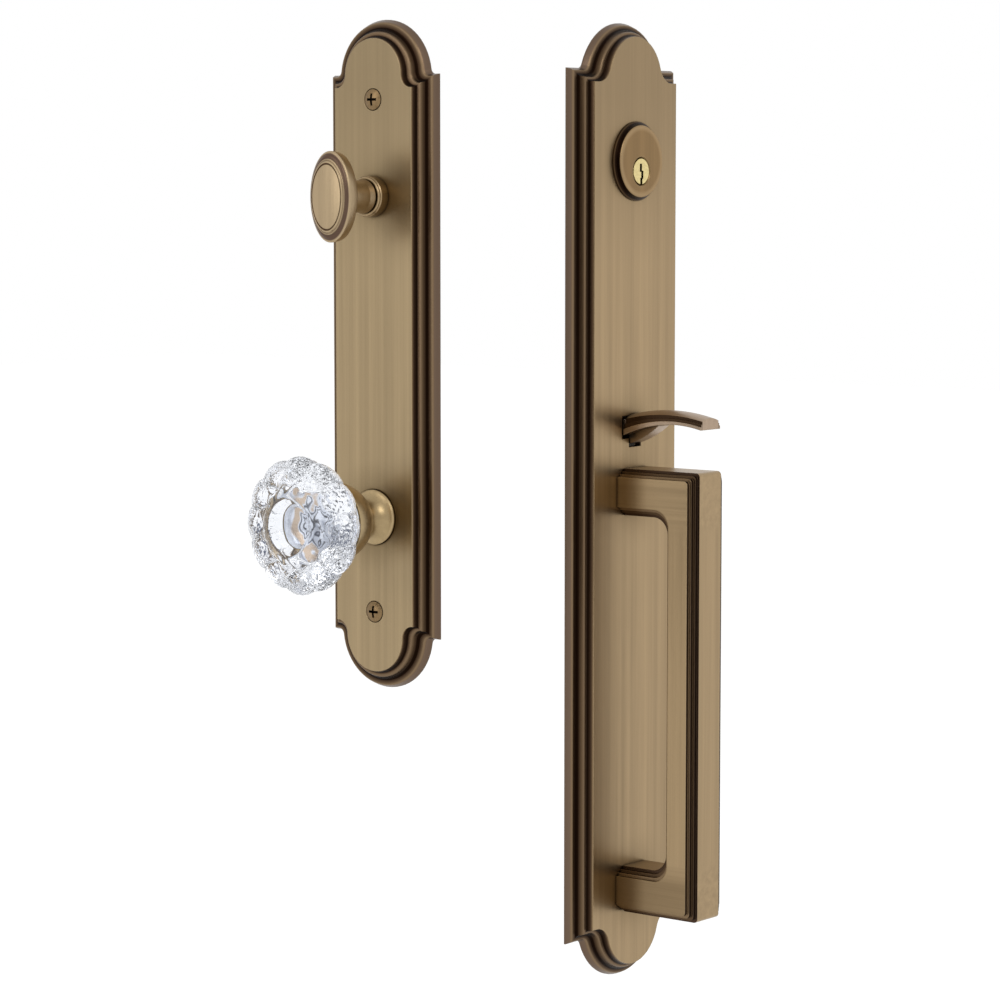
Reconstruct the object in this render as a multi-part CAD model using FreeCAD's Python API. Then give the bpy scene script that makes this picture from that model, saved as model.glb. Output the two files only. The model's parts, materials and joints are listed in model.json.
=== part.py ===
import FreeCAD, Part
import math
import os
from FreeCAD import Vector

# Entry door handleset, millimetres.
# Each half is drawn facing -Y, its back in the plane y = 0 and the door behind it at y > 0.
# "out" is the distance in front of that back plane, so y = -out.
# The outside half stays there. The inside half is turned to face -X and moved aside.

# Outside plate
EXT_HALF_WIDTH = 41.3
EXT_APEX = 228.5
EXT_CROWN = 21.6
EXT_THICK = 10.4
EXT_FOOT = 0.8
EXT_SIDE = 2.8
EXT_MOULD_WIDTH = 9.1
EXT_MOULD_SHOULDER = 6.4
EXT_MOULD_CROWN = 6.5
EXT_LEDGE = 9.3
EXT_PANEL_LEDGE = 3.4
EXT_COVE = 3.0
EXT_PANEL_COVE = 9.7

# Inside plate
INT_HALF_WIDTH = 29.65
INT_ABOVE_BOLT = 34.45
INT_CROWN = 23.6
INT_THICK = 10.0
INT_FOOT = 0.8
INT_SIDE = 3.3
INT_MOULD_WIDTH = 8.0
INT_MOULD_SHOULDER = 5.8
INT_MOULD_CROWN = 8.1
INT_LEDGE = 2.4
INT_PANEL_LEDGE = 0.4
INT_COVE = 2.4
INT_PANEL_COVE = 5.5

# Both plates
WEB = 3.8
POCKET_CORNER = 6.0
BOSS_R = 8.0

# Where the inside half stands, from the middle of the outside plate's back
INT_X = -171.6
INT_Y = -2.64
INT_Z = 78.5

# Places of the axes
LOCK_TO_LATCH = 139.7
BOLT_OFFSET = 41.7
CYLINDER_DROP = 64.9

# Lock cylinder
CYL_RING_R = 18.6
CYL_FACE_R = 17.0
CYL_RING_OUT = 0.7
CYL_FACE_OUT = 3.4
CYL_BARREL_R = 15.0
CYL_NUT_R = 20.0
CYL_NUT_LENGTH = 5.0
CYL_NUT_NOTCH = 2.0
PLUG_R = 6.35
PLUG_DROP = 4.75
PLUG_BEVEL = 0.7
PLUG_NECK_R = 4.6
PLUG_NECK_LENGTH = 3.4
PLUG_CAP_R = 8.0
PLUG_CAP_WALL = 1.2
KEY_SLOT = 0.85
KEY_SHIFT = 0.75
KEY_TOP = 3.6
TAIL_SEAT = 2.5
TAIL_WIDTH = 6.0
TAIL_THICK = 1.6
TAIL_REACH = 29.0
PIN_R = 1.4
PIN_PITCH = 4.0
PIN_COUNT = 5
PIN_FIRST_OUT = 5.0
PIN_LAST_ROOM = 3.0
KEY_PIN_LENGTH = 4.6
DRIVER_PIN_LENGTH = 2.6
PIN_SPRING_WIRE = 0.3
PIN_SPRING_TURNS = 5
COVER_THICK = 0.75
COVER_HALF = 2.5
COVER_RISE = 14.0
COVER_MARGIN = 3.0

# Thumb piece and its lift
THUMB_PIVOT_OUT = 2.6
THUMB_ABOVE_LATCH = 14.7
THUMB_PIN_R = 1.6
THUMB_HUB_R = 3.6
THUMB_ROOT_HALF = 9.8
THUMB_TIP_HALF = 7.9
THUMB_TIP_OUT = 54.2
THUMB_CREST_OUT = 30.0
THUMB_HOLLOW_OUT = 34.7
THUMB_EDGE_STEP = 0.7
THUMB_CROWN = 2.2
THUMB_TIP_CROWN = 1.4
THUMB_STATIONS = 6
THUMB_ROOT_GAP = 0.3
THUMB_ROOT_BELOW = 4.2
THUMB_ROOT_ABOVE = 4.2
THUMB_STRUT_HALF = 4.3
THUMB_STRUT_BELOW = 8.4
STRUT_REACH = 16.5
STRUT_RISE = 8.9
STRUT_BELLY = 3.4
STRUT_EDGE = 1.3
STRUT_ROOT = 1.4
THUMB_SLOT_SIDE = 0.5
THUMB_SLOT_BELOW = 1.8
THUMB_SLOT_ABOVE = 0.6
THUMB_HUB_HALF = 7.0
THUMB_PRESS_ROOM = 1.2
THUMB_NECK_STEP = 1.0
LAP = 0.5
LIFT_ARM = 12.0
LIFT_ARM_HALF = 3.5
LIFT_NOSE_R = 2.0
LIFT_ARM_THICK = 3.0
BRACKET_SHEET = 2.0
BRACKET_TAB = 9.0
BRACKET_BELOW = 5.6
EAR_BELOW = 13.0
BRACKET_ABOVE = 6.0
LIFTER_THICK = 2.4
LIFTER_WALL = 1.6
LIFTER_DROP = 3.0
LIFTER_FINGER = 8.0
LIFTER_FINGER_HALF = 3.0
LIFTER_FINGER_THICK = 3.0
SPRING_R = 2.6
SPRING_WIRE = 0.35
SPRING_LENGTH = 8.0
SPRING_TURNS = 5

# Pull grip
GRIP_BELOW_LATCH = 5.4
GRIP_ABOVE_END = 33.5
GRIP_REACH = 54.4
GRIP_BAND = 18.3
GRIP_LEG_BAND = 22.2
GRIP_HALF = 14.2
GRIP_EDGE_HALF = 8.7
GRIP_STEPS = 3
GRIP_INSET_OUT = 3.3
GRIP_INSET_END = 3.6
GRIP_INSET_INNER = 4.1
GRIP_CORNER = 2.0
GRIP_INNER_CORNER = 8.0

# Screws: clearance, shank and head sizes
GRIP_SCREW_R = 3.0
GRIP_SCREW_HEAD_R = 5.4
GRIP_SCREW_HEAD = 3.4
GRIP_SCREW_SEAT = 3.8
GRIP_SCREW_BITE = 11.0
SMALL_SCREW_R = 1.5
SMALL_HEAD_R = 2.9
SMALL_HEAD = 1.6
SMALL_BITE = 2.4
BOLT_R = 2.0
BOLT_NECK_R = 2.6
BOLT_CHAMFER = 0.5
BOLT_REACH = 32.0
POST_R = 4.5
POST_REACH = 18.0
POST_SEAT = 5.0
COUNTERSINK_R = 4.9
BOLT_HEAD_R = 4.5
BOLT_HEAD_CROWN = 1.2
BOLT_SINK = 2.8
CROSS_WIDTH = 1.1
CROSS_R = 2.6
END_SOLID = 9.5

# Thumb turn
TURN_HALF_WIDTH = 11.4
TURN_HALF_HEIGHT = 19.5
TURN_RIM_OUT = 27.7
TURN_RIM_DEPTH = 4.6
TURN_NECK_R = 7.4
TURN_COLLAR_R = 8.85
TURN_COLLAR_LENGTH = 6.0
TURN_COLLAR_SHANK_R = 7.2
TURN_COLLAR_BACK = 3.0
TURN_STEM_R = 5.0
TURN_STEM_BACK = 5.0
TURN_REACH = 32.0
WASHER_THICK = 0.8
WASHER_R = 7.6
CLIP_RIM = 1.8
CLIP_THICK = 1.0
CLIP_BITE = 0.8
CLIP_MOUTH = 60.0
SPINDLE_SEAT = 6.0

# Glass knob
KNOB_R = 29.8
KNOB_MIDDLE_OUT = 47.4
KNOB_LOBES = 12
LOBE_DEPTH = 1.5
KNOB_EDGE_HALF = 2.6
KNOB_FRONT_RISE = 8.0
KNOB_DISH_R = 11.5
KNOB_DISH_DEPTH = 2.4
CUP_R = 18.2
CUP_LIP_OUT = 29.8
CUP_FLOOR_OUT = 25.8
CUP_WALL = 1.0
CUP_BACK_R = 12.0
CUP_BACK_OUT = 14.8
CUP_SWELL_OUT = 22.9
CUP_SWELL = 4.8
CUP_NECK_R = 8.5
CUP_WAIST_R = 6.4
CUP_WAIST_OUT = 8.7
FLANGE_R = 12.1
FLANGE_PROUD = 0.9
FLANGE_DEPTH = 2.2
SHANK_R = 8.0
SHANK_BACK = 8.5
GLASS_STUB_R = 14.0
CHASSIS_SIDE_GAP = 2.65
CHASSIS_DEPTH = 9.0
CHASSIS_WALL = 1.6
CHASSIS_EAR_OUT = 5.0
CHASSIS_EAR_R = 4.5
CHASSIS_COVER = 1.2
KNOB_SPRING_R = 12.5
KNOB_SPRING_WIRE = 0.8
KNOB_SPRING_TURNS = 4
SPINDLE_SIDE = 8.0
SPINDLE_REACH = 28.0
SPINDLE_IN = 20.0
SET_SCREW_R = 2.0
SET_SCREW_OUT = 17.0
SET_SCREW_LENGTH = 6.0

# Clearances
TOUCH = 0.001
RUN_GAP = 0.05
THREAD_GAP = 0.03
DROP_GAP = 0.2
SEAT_GAP = 0.05

# Side view of the thumb piece's arm: where its upper edge and its underside lie above the pivot
THUMB_EDGE_HEIGHTS = (3.4, 6.2, 3.9)
THUMB_UNDER_HEIGHTS = (-4.2, 1.8, -0.1)

# Section of the moulded edge above its sloping side: share of its width in from the rim, share of its rise
MOULD = [
    (0.130, 0.000),
    (0.160, 0.050),
    (0.190, 0.080),
    (0.225, 0.094),
    (0.290, 0.098),
    (0.410, 0.103),
    (0.500, 0.128),
    (0.565, 0.185),
    (0.605, 0.275),
    (0.630, 0.385),
    (0.650, 0.475),
    (0.685, 0.528),
    (0.735, 0.548),
    (0.820, 0.556),
    (0.885, 0.574),
    (0.930, 0.625),
    (0.958, 0.710),
    (0.972, 0.825),
    (0.984, 0.935),
    (1.000, 1.000),
]


def front(out):
    """Points of a plane that faces -Y, given as (across, up)."""
    return lambda across, up: Vector(across, -out, up)


def side(across):
    """Points of a plane that faces +X, given as (out, up)."""
    return lambda out, up: Vector(across, -out, up)


def half_section(out, radius):
    """Points of the section of a turned piece, given as (out, radius)."""
    return Vector(radius, -out, 0)


def wire(plane, start, *steps):
    """Closed outline: a step is an end point, or a point on an arc and the arc's end."""
    edges = []
    here = plane(*start)
    for step in steps:
        if isinstance(step[0], tuple):
            middle = plane(*step[0])
            end = plane(*step[1])
            edges.append(Part.Arc(here, middle, end).toShape())
        else:
            end = plane(*step)
            edges.append(Part.LineSegment(here, end).toShape())
        here = end
    home = plane(*start)
    if here.distanceToPoint(home) > TOUCH:
        edges.append(Part.LineSegment(here, home).toShape())
    return Part.Wire(edges)


def turned(up, *outline):
    """Solid of revolution about the line through (0, up) that runs along Y."""
    section = Part.Face(wire(half_section, *outline))
    solid = section.revolve(Vector(0, 0, 0), Vector(0, 1, 0), 360)
    solid.translate(Vector(0, 0, up))
    return solid


def rod(radius, out_back, out_front, up=0.0, across=0.0):
    """Round bar along Y."""
    length = out_front - out_back
    return Part.makeCylinder(radius, length, Vector(across, -out_back, up), Vector(0, -1, 0))


def block(half_width, out_back, out_front, up_low, up_high, across=0.0):
    """Box, centred across."""
    corner = Vector(across - half_width, -out_front, up_low)
    return Part.makeBox(2 * half_width, out_front - out_back, up_high - up_low, corner)


def rounded_slab(half_width, low, high, corner, out_back, out_front):
    """Slab with rounded corners, facing -Y."""
    slab = block(half_width, out_back, out_front, low, high)
    upright = [e for e in slab.Edges if abs(e.Vertexes[0].Y - e.Vertexes[1].Y) > TOUCH]
    return slab.makeFillet(corner, upright)


def cross_slot(radius, width, depth, out_face, up):
    """Cutter for a cross recess in a screw head."""
    bars = block(radius, out_face - depth, out_face + depth, up - width / 2, up + width / 2)
    bars = bars.fuse(block(width / 2, out_face - depth, out_face + depth, up - radius, up + radius))
    return bars


def pan_screw(radius, head_r, head_length, shank_length, out_seat, up, across=0.0):
    """Screw driven from behind: its head lies behind out_seat and its shank runs outwards."""
    screw = rod(head_r, out_seat - head_length, out_seat, up, across)
    screw = screw.fuse(rod(radius, out_seat, out_seat + shank_length, up, across))
    slot = Part.makeBox(head_r * 2.2, head_length / 2, head_r * 0.3)
    slot.translate(Vector(across - head_r * 1.1, head_length / 2 - out_seat, up - head_r * 0.15))
    return screw.cut(slot).removeSplitter()


def coil(radius, wire_r, turns, length, base):
    """Compression spring that stands on base, its axis along Z."""
    pitch = (length - 2 * wire_r) / turns
    helix = Part.makeHelix(pitch, pitch * turns, radius)
    start = Vector(radius, 0, 0)
    ring = Part.Wire(Part.makeCircle(wire_r, start, Vector(0, 1, 0)))
    spring = Part.Wire(helix).makePipeShell([ring], True, True)
    spring.translate(base + Vector(0, 0, wire_r))
    return spring


def plate_outline(sizes, share, out):
    """One contour of a plate's moulded edge, share of the way from its rim to its panel."""
    half = sizes["half"] - share * sizes["mould_width"]
    shoulder = sizes["shoulder"] - share * sizes["mould_shoulder"]
    apex = sizes["apex"] - share * sizes["mould_crown"]
    ledge = sizes["ledge"] + share * (sizes["panel_ledge"] - sizes["ledge"])
    cove = sizes["cove"] + share * (sizes["panel_cove"] - sizes["cove"])
    cove_x = half - ledge
    rise = shoulder + cove - apex
    crown = (cove_x**2 + rise**2 - cove**2) / (2 * (cove - rise))
    lean = math.atan2(apex - crown - shoulder - cove, -cove_x) % (2 * math.pi)
    middle = (lean + 1.5 * math.pi) / 2

    def cove_point(angle, flip_x, flip_z):
        x = cove_x + cove * math.cos(angle)
        z = shoulder + cove + cove * math.sin(angle)
        return flip_x * x, flip_z * z

    right_top = (cove_point(middle, 1, 1), cove_point(lean, 1, 1))
    left_top = (cove_point(middle, -1, 1), (-cove_x, shoulder))
    left_low = (cove_point(middle, -1, -1), cove_point(lean, -1, -1))
    right_low = (cove_point(middle, 1, -1), (cove_x, -shoulder))
    return wire(
        front(out),
        (half, -shoulder),
        (half, shoulder),
        (cove_x, shoulder),
        right_top,
        ((0.0, apex), cove_point(lean, -1, 1)),
        left_top,
        (-half, shoulder),
        (-half, -shoulder),
        (-cove_x, -shoulder),
        left_low,
        ((0.0, -apex), cove_point(lean, 1, -1)),
        right_low,
        (half, -shoulder),
    )


def plate_blank(sizes):
    """Plate with its moulded edge, solid behind."""
    low = sizes["side"]
    rise = sizes["thick"] - low
    contours = [plate_outline(sizes, 0.0, 0.0), plate_outline(sizes, 0.0, sizes["foot"])]
    contours += [plate_outline(sizes, across, low + up * rise) for across, up in MOULD]
    return Part.makeLoft(contours, True, True)


def hollow(sizes, low, high):
    """Cutter for the hollow behind a plate."""
    half = sizes["half"] - sizes["mould_width"]
    return rounded_slab(half, low, high, POCKET_CORNER, 0, sizes["thick"] - WEB)


# Places worked out from the sizes above
EXT_FLOOR = EXT_THICK - WEB
INT_FLOOR = INT_THICK - WEB
CYLINDER_Z = EXT_APEX - CYLINDER_DROP
LATCH_Z = CYLINDER_Z - LOCK_TO_LATCH
TURN_Z = LOCK_TO_LATCH / 2
POST_HIGH = CYLINDER_Z + BOLT_OFFSET
POST_LOW = LATCH_Z - BOLT_OFFSET
KNOB_Z = TURN_Z - LOCK_TO_LATCH
BOLT_HIGH = TURN_Z + BOLT_OFFSET
BOLT_LOW = KNOB_Z - BOLT_OFFSET
INT_APEX = BOLT_HIGH + INT_ABOVE_BOLT
PLUG_Z = CYLINDER_Z - PLUG_DROP
THUMB_PIVOT_Z = LATCH_Z + THUMB_ABOVE_LATCH
THUMB_ROOT = EXT_THICK + THUMB_ROOT_GAP
THUMB_ROOT_LOW = THUMB_PIVOT_Z - THUMB_ROOT_BELOW
THUMB_ROOT_HIGH = THUMB_PIVOT_Z + THUMB_ROOT_ABOVE
THUMB_STRUT_LOW = THUMB_PIVOT_Z - THUMB_STRUT_BELOW
BRACKET_TAB_LOW = THUMB_PIVOT_Z - BRACKET_BELOW
BRACKET_TAB_HIGH = THUMB_PIVOT_Z + BRACKET_ABOVE
GRIP_TOP = LATCH_Z - GRIP_BELOW_LATCH
GRIP_BOTTOM = GRIP_ABOVE_END - EXT_APEX
GRIP_LEG_HIGH = GRIP_TOP - GRIP_LEG_BAND / 2
GRIP_LEG_LOW = GRIP_BOTTOM + GRIP_LEG_BAND / 2
CHASSIS_R = INT_HALF_WIDTH - INT_MOULD_WIDTH - CHASSIS_SIDE_GAP
CHASSIS_EAR = CHASSIS_R + CHASSIS_EAR_OUT
CHASSIS_BACK = INT_FLOOR - CHASSIS_DEPTH
SHANK_END = CHASSIS_BACK - SHANK_BACK
COLLAR_END = INT_FLOOR - TURN_COLLAR_BACK
STEM_END = COLLAR_END - TURN_STEM_BACK
PLUG_BACK = PIN_FIRST_OUT - (PIN_COUNT - 1) * PIN_PITCH - PIN_LAST_ROOM
NECK_END = PLUG_BACK - PLUG_NECK_LENGTH
COVER_Z = CYLINDER_Z + COVER_RISE
EAR_IN = THUMB_HUB_HALF + DROP_GAP
EAR_OUT = EAR_IN + BRACKET_SHEET
LIFT_OUT = THUMB_PIVOT_OUT - LIFT_ARM
LIFTER_FRONT = LIFT_OUT + LIFTER_THICK / 2
LIFTER_REAR = LIFT_OUT - LIFTER_THICK / 2
LIFTER_HALF = EAR_IN - RUN_GAP
LIFTER_TOP = THUMB_PIVOT_Z + LIFT_NOSE_R + RUN_GAP + LIFTER_WALL
BRACKET_REAR = LIFTER_REAR - RUN_GAP
BRACKET_TOP = LIFTER_TOP + SPRING_LENGTH
BRACKET_SCREW_X = EAR_IN + BRACKET_TAB * 0.7
BRACKET_SCREW_Z = (BRACKET_TAB_LOW + BRACKET_TAB_HIGH) / 2
KEY_PIN_TOP = math.sqrt(PLUG_R**2 - PIN_R**2) - RUN_GAP
TURN_CLIP_FRONT = COLLAR_END - WASHER_THICK
TURN_CLIP_BACK = TURN_CLIP_FRONT - CLIP_THICK
KNOB_CLIP_FRONT = CHASSIS_BACK - CHASSIS_COVER - RUN_GAP
KNOB_CLIP_BACK = KNOB_CLIP_FRONT - CLIP_THICK

EXT = {
    "half": EXT_HALF_WIDTH,
    "apex": EXT_APEX,
    "shoulder": EXT_APEX - EXT_CROWN,
    "thick": EXT_THICK,
    "foot": EXT_FOOT,
    "side": EXT_SIDE,
    "mould_width": EXT_MOULD_WIDTH,
    "mould_shoulder": EXT_MOULD_SHOULDER,
    "mould_crown": EXT_MOULD_CROWN,
    "ledge": EXT_LEDGE,
    "panel_ledge": EXT_PANEL_LEDGE,
    "cove": EXT_COVE,
    "panel_cove": EXT_PANEL_COVE,
}

INT = {
    "half": INT_HALF_WIDTH,
    "apex": INT_APEX,
    "shoulder": INT_APEX - INT_CROWN,
    "thick": INT_THICK,
    "foot": INT_FOOT,
    "side": INT_SIDE,
    "mould_width": INT_MOULD_WIDTH,
    "mould_shoulder": INT_MOULD_SHOULDER,
    "mould_crown": INT_MOULD_CROWN,
    "ledge": INT_LEDGE,
    "panel_ledge": INT_PANEL_LEDGE,
    "cove": INT_COVE,
    "panel_cove": INT_PANEL_COVE,
}


def coil_across(radius, wire_r, turns, length, out_front, up):
    """Coil spring whose axis runs along Y."""
    spring = coil(radius, wire_r, turns, length, Vector(0, 0, 0))
    spring.rotate(Vector(0, 0, 0), Vector(1, 0, 0), -90)
    spring.translate(Vector(0, -out_front, up))
    return spring


def slide_ring(inner, outer, out_back, out_front, up):
    """Flat ring about a line along Y."""
    return rod(outer, out_back, out_front, up).cut(rod(inner, out_back - 1, out_front + 1, up))


def spring_clip(inner, outer, out_back, out_front, up):
    """Open retaining ring, its mouth downwards."""
    ring = slide_ring(inner, outer, out_back, out_front, up)
    reach = outer * math.tan(math.radians(CLIP_MOUTH / 2))
    mouth = wire(front(out_back - 1), (0.0, up), (reach, up - outer - 1), (-reach, up - outer - 1))
    cutter = Part.Face(mouth).extrude(Vector(0, -(out_front - out_back + 2), 0))
    return ring.cut(cutter)


def fuse_all(solids):
    whole = solids[0]
    for solid in solids[1:]:
        whole = whole.fuse(solid)
    return whole.removeSplitter()


def exterior_plate():
    low = GRIP_LEG_LOW + END_SOLID
    high = POST_HIGH - END_SOLID
    pad = rounded_slab(BOSS_R, POST_LOW - BOSS_R, GRIP_LEG_HIGH + BOSS_R, BOSS_R * 0.9, 0, EXT_FLOOR)
    plate = plate_blank(EXT)
    cuts = [
        hollow(EXT, low, high).cut(pad),
        rod(CYL_BARREL_R + DROP_GAP, -1, EXT_THICK + 1, CYLINDER_Z),
        block(
            THUMB_ROOT_HALF + THUMB_SLOT_SIDE,
            EXT_FLOOR - 1,
            EXT_THICK + 1,
            THUMB_ROOT_LOW - THUMB_SLOT_BELOW,
            THUMB_ROOT_HIGH + THUMB_SLOT_ABOVE,
        ),
        block(
            THUMB_STRUT_HALF + THUMB_SLOT_SIDE,
            EXT_FLOOR - 1,
            EXT_THICK + 1,
            THUMB_STRUT_LOW - THUMB_SLOT_BELOW,
            THUMB_ROOT_LOW,
        ),
    ]
    for up in (GRIP_LEG_HIGH, GRIP_LEG_LOW):
        cuts.append(rod(GRIP_SCREW_R + DROP_GAP, -1, EXT_THICK + 1, up))
        cuts.append(rod(GRIP_SCREW_HEAD_R + DROP_GAP, -1, GRIP_SCREW_SEAT, up))
    for up in (POST_HIGH, POST_LOW):
        cuts.append(rod(POST_R + THREAD_GAP, -1, POST_SEAT + THREAD_GAP, up))
    screw_end = EXT_FLOOR + SMALL_BITE + DROP_GAP
    for across in (-BRACKET_SCREW_X, BRACKET_SCREW_X):
        cuts.append(rod(SMALL_SCREW_R + THREAD_GAP, 0, screw_end, BRACKET_SCREW_Z, across))
    for cutter in cuts:
        plate = plate.cut(cutter)
    return plate


def lock_cylinder():
    face = EXT_THICK + CYL_FACE_OUT
    ring = EXT_THICK + CYL_RING_OUT
    lip = CYL_RING_R - CYL_FACE_R
    body = turned(
        CYLINDER_Z,
        (PLUG_BACK, 0.0),
        (PLUG_BACK, CYL_BARREL_R),
        (EXT_THICK, CYL_BARREL_R),
        (EXT_THICK, CYL_RING_R),
        (ring, CYL_RING_R),
        (ring + lip * 0.4, CYL_FACE_R + lip * 0.3),
        (face - lip * 0.25, CYL_FACE_R),
        (face, CYL_FACE_R - lip * 0.25),
        (face, 0.0),
    )
    bore = PLUG_R + RUN_GAP
    mouth = Part.makeCone(
        bore, bore + PLUG_BEVEL, PLUG_BEVEL, Vector(0, PLUG_BEVEL - face, PLUG_Z), Vector(0, -1, 0)
    )
    channel = block(
        COVER_HALF, PLUG_BACK + COVER_MARGIN / 2, PIN_FIRST_OUT + COVER_MARGIN, COVER_Z, COVER_Z + 5
    )
    cuts = [rod(bore, PLUG_BACK - 1, face + 1, PLUG_Z), mouth, channel]
    for out in pin_places():
        cuts.append(Part.makeCylinder(PIN_R + RUN_GAP, COVER_Z - PLUG_Z + 1, Vector(0, -out, PLUG_Z)))
    for cutter in cuts:
        body = body.cut(cutter)
    return body


def pin_places():
    return [PIN_FIRST_OUT - n * PIN_PITCH for n in range(PIN_COUNT)]


def key_plug():
    face = EXT_THICK + CYL_FACE_OUT - DROP_GAP
    plug = turned(
        PLUG_Z,
        (NECK_END, 0.0),
        (NECK_END, PLUG_NECK_R),
        (PLUG_BACK, PLUG_NECK_R),
        (PLUG_BACK, PLUG_R),
        (face - PLUG_BEVEL, PLUG_R),
        (face, PLUG_R - PLUG_BEVEL / 2),
        (face, 0.0),
    )
    key_end = PLUG_BACK + COVER_MARGIN
    low = PLUG_Z - PLUG_R
    high = PLUG_Z + KEY_TOP
    third = (high - low) / 3
    cuts = [
        block(KEY_SLOT, key_end, face + 1, low - 1, low + third),
        block(KEY_SLOT, key_end, face + 1, low + third - LAP, high - third, KEY_SHIFT),
        block(KEY_SLOT, key_end, face + 1, high - third - LAP, high, -KEY_SHIFT / 2),
        block(
            TAIL_THICK / 2 + THREAD_GAP,
            NECK_END - 1,
            NECK_END + TAIL_SEAT,
            PLUG_Z - TAIL_WIDTH / 2 - THREAD_GAP,
            PLUG_Z + TAIL_WIDTH / 2 + THREAD_GAP,
        ),
    ]
    pin_foot = PLUG_Z + KEY_PIN_TOP - KEY_PIN_LENGTH - THREAD_GAP
    for out in pin_places():
        cuts.append(Part.makeCylinder(PIN_R + THREAD_GAP, PLUG_R, Vector(0, -out, pin_foot)))
    for cutter in cuts:
        plug = plug.cut(cutter)
    return plug


def key_pins():
    base = PLUG_Z + KEY_PIN_TOP - KEY_PIN_LENGTH
    return Part.makeCompound(
        [Part.makeCylinder(PIN_R, KEY_PIN_LENGTH, Vector(0, -out, base)) for out in pin_places()]
    )


def driver_pins():
    base = PLUG_Z + PLUG_R + 2 * RUN_GAP
    return Part.makeCompound(
        [Part.makeCylinder(PIN_R, DRIVER_PIN_LENGTH, Vector(0, -out, base)) for out in pin_places()]
    )


def pin_springs():
    base = PLUG_Z + PLUG_R + 2 * RUN_GAP + DRIVER_PIN_LENGTH + RUN_GAP
    radius = PIN_R - PIN_SPRING_WIRE
    length = COVER_Z - RUN_GAP - base
    springs = []
    for out in pin_places():
        foot = Vector(0, -out, base)
        springs.append(coil(radius, PIN_SPRING_WIRE, PIN_SPRING_TURNS, length, foot))
    return Part.makeCompound(springs)


def pin_cover():
    return block(
        COVER_HALF - THREAD_GAP,
        PLUG_BACK + COVER_MARGIN / 2 + THREAD_GAP,
        PIN_FIRST_OUT + COVER_MARGIN - THREAD_GAP,
        COVER_Z,
        COVER_Z + COVER_THICK,
    )


def tailpiece():
    return block(
        TAIL_THICK / 2,
        -TAIL_REACH,
        NECK_END + TAIL_SEAT - THREAD_GAP,
        PLUG_Z - TAIL_WIDTH / 2,
        PLUG_Z + TAIL_WIDTH / 2,
    )


def plug_cap():
    cap = turned(
        PLUG_Z,
        (NECK_END - PLUG_CAP_WALL, 0.0),
        (NECK_END - PLUG_CAP_WALL, PLUG_CAP_R - 1),
        (NECK_END, PLUG_CAP_R),
        (PLUG_BACK - RUN_GAP, PLUG_CAP_R),
        (PLUG_BACK - RUN_GAP, PLUG_NECK_R + THREAD_GAP),
        (NECK_END - THREAD_GAP, PLUG_NECK_R + THREAD_GAP),
        (NECK_END - THREAD_GAP, 0.0),
    )
    slot = block(
        TAIL_THICK / 2 + THREAD_GAP,
        NECK_END - PLUG_CAP_WALL - 1,
        NECK_END + 1,
        PLUG_Z - TAIL_WIDTH / 2 - THREAD_GAP,
        PLUG_Z + TAIL_WIDTH / 2 + THREAD_GAP,
    )
    return cap.cut(slot)


def cylinder_nut():
    back = EXT_FLOOR - CYL_NUT_LENGTH
    nut = slide_ring(CYL_BARREL_R + THREAD_GAP, CYL_NUT_R, back, EXT_FLOOR, CYLINDER_Z)
    for turn in (0, 90, 180, 270):
        notch = block(CYL_NUT_NOTCH, back - 1, back + CYL_NUT_NOTCH, CYL_NUT_R - CYL_NUT_NOTCH, CYL_NUT_R + 1)
        notch.rotate(Vector(0, 0, 0), Vector(0, 1, 0), turn)
        notch.translate(Vector(0, 0, CYLINDER_Z))
        nut = nut.cut(notch)
    return nut


def through_three(places, heights, here):
    """Height at a place of the parabola through three points."""
    total = 0.0
    for place, height in zip(places, heights):
        weight = height
        for other in places:
            if other != place:
                weight *= (here - other) / (place - other)
        total += weight
    return total


def thumb_section(out):
    """Section of the thumb piece's arm: stepped sides and a crowned top."""
    edge_places = (THUMB_ROOT, THUMB_CREST_OUT, THUMB_TIP_OUT)
    under_places = (THUMB_ROOT, THUMB_HOLLOW_OUT, THUMB_TIP_OUT)
    edge = THUMB_PIVOT_Z + through_three(edge_places, THUMB_EDGE_HEIGHTS, out)
    under = THUMB_PIVOT_Z + through_three(under_places, THUMB_UNDER_HEIGHTS, out)
    along = (out - THUMB_ROOT) / (THUMB_TIP_OUT - THUMB_ROOT)
    half = THUMB_ROOT_HALF + along * (THUMB_TIP_HALF - THUMB_ROOT_HALF)
    crown = edge + THUMB_CROWN + along * (THUMB_TIP_CROWN - THUMB_CROWN)
    low_step = under + (edge - under) * 0.38
    high_step = under + (edge - under) * 0.68
    first = half - THUMB_EDGE_STEP
    second = first - THUMB_EDGE_STEP
    return wire(
        front(out),
        (-half, under),
        (half, under),
        (half, low_step),
        (first, low_step),
        (first, high_step),
        (second, high_step),
        (second, edge),
        ((0.0, crown), (-second, edge)),
        (-second, high_step),
        (-first, high_step),
        (-first, low_step),
        (-half, low_step),
        (-half, under),
    )


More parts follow.
